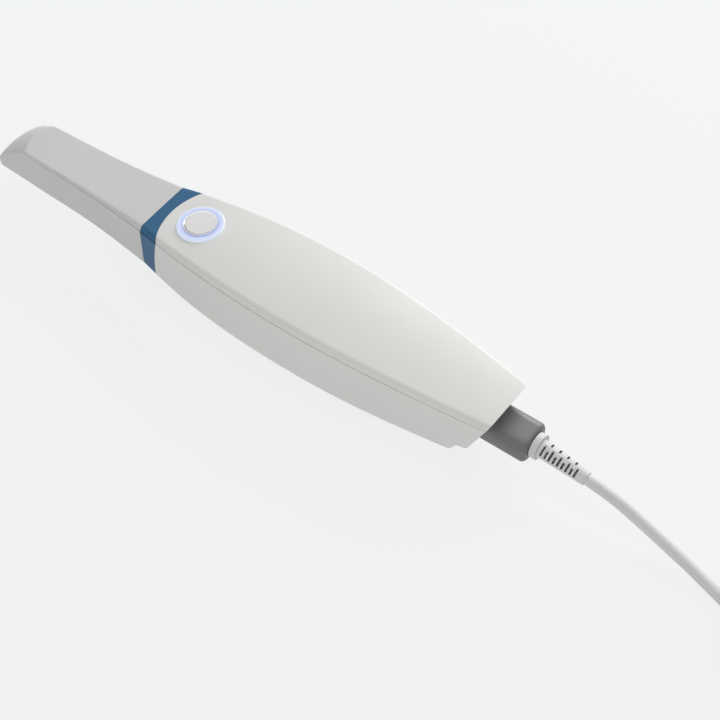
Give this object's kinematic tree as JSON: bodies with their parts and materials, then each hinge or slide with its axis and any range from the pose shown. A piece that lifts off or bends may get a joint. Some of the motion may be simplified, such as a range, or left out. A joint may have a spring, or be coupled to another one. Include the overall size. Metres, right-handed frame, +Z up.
{
  "type": "intraoral scanner",
  "caption": "Handheld dental scanner: a bowed wand with a slide-on mirror tip, a coloured collar, a lit round push button and a plug-in lead.",
  "frame": {"origin": "on the surface that the wand lies on, under the middle of its length and width", "axes": "+X along the wand from the tip to the lead, +Y across it, +Z up through the button side"},
  "size_m": [0.3988, 0.0649, 0.0338],
  "materials": {
    "tip_plastic": "satin",
    "housing_plastic": "satin",
    "collar_blue": "semi-gloss",
    "light_guide": "frosted, lit",
    "button_plastic": "satin",
    "rim_chrome": "polished",
    "mirror_glass": "polished",
    "clear_glass": "polished",
    "nose_plastic": "matte",
    "seal_rubber": "matte",
    "spring_steel": "brushed",
    "bench_aluminium": "machined",
    "barrel_black": "black anodised",
    "board_green": "solder mask",
    "flex_amber": "film",
    "chip_black": "moulded",
    "led_package": "clear",
    "contact_steel": "plated",
    "connector_grey": "satin",
    "relief_white": "soft",
    "cable_white": "soft",
    "tie_black": "woven",
    "plug_white": "satin",
    "tongue_blue": "moulded"
  },
  "bodies": {
    "wand": {"upper_housing": "housing_plastic", "lower_housing": "housing_plastic", "collar_ring": "collar_blue", "nose_tube": "nose_plastic", "front_window": "clear_glass", "nose_seal": "seal_rubber", "tip_clip_left": "spring_steel", "tip_clip_right": "spring_steel", "optical_bench": "bench_aluminium", "camera_barrel": "barrel_black", "camera_lens": "clear_glass", "camera_board": "board_green", "camera_flex": "flex_amber", "projector_barrel": "barrel_black", "projector_lens": "clear_glass", "projector_board": "board_green", "projector_flex": "flex_amber", "light_ring": "light_guide", "tact_switch": "chip_black", "button_board": "board_green", "ring_leds": "led_package", "main_board": "board_green", "processor": "chip_black", "memory_chips": "chip_black", "heat_sink": "bench_aluminium", "board_screws": "spring_steel", "cable_socket": "contact_steel"},
    "tip": {"tip_shell": "tip_plastic", "tip_mirror": "mirror_glass"},
    "button": {"button_cap": "button_plastic", "button_rim": "rim_chrome", "switch_plunger": "chip_black"},
    "lead": {"connector_shell": "connector_grey", "plug_shell": "contact_steel", "strain_relief": "relief_white", "cable_lead": "cable_white", "cable_coil": "cable_white", "coil_tie": "tie_black", "plug_lead": "cable_white", "usb_plug": "plug_white", "usb_shell": "contact_steel", "usb_tongue": "tongue_blue"}
  },
  "joints": [
    {"name": "tip_slide", "type": "slide", "parent": "wand", "child": "tip", "axis": [-1, 0, 0], "range_m": [0, 0.05]},
    {"name": "button_press", "type": "slide", "parent": "wand", "child": "button", "axis": [0.092, 0, -0.9958], "range_m": [0, 0.0006], "stiffness_N_per_m": 3500},
    {"name": "connector_pull", "type": "slide", "parent": "wand", "child": "lead", "axis": [1, 0, 0], "range_m": [0, 0.02]}
  ]
}
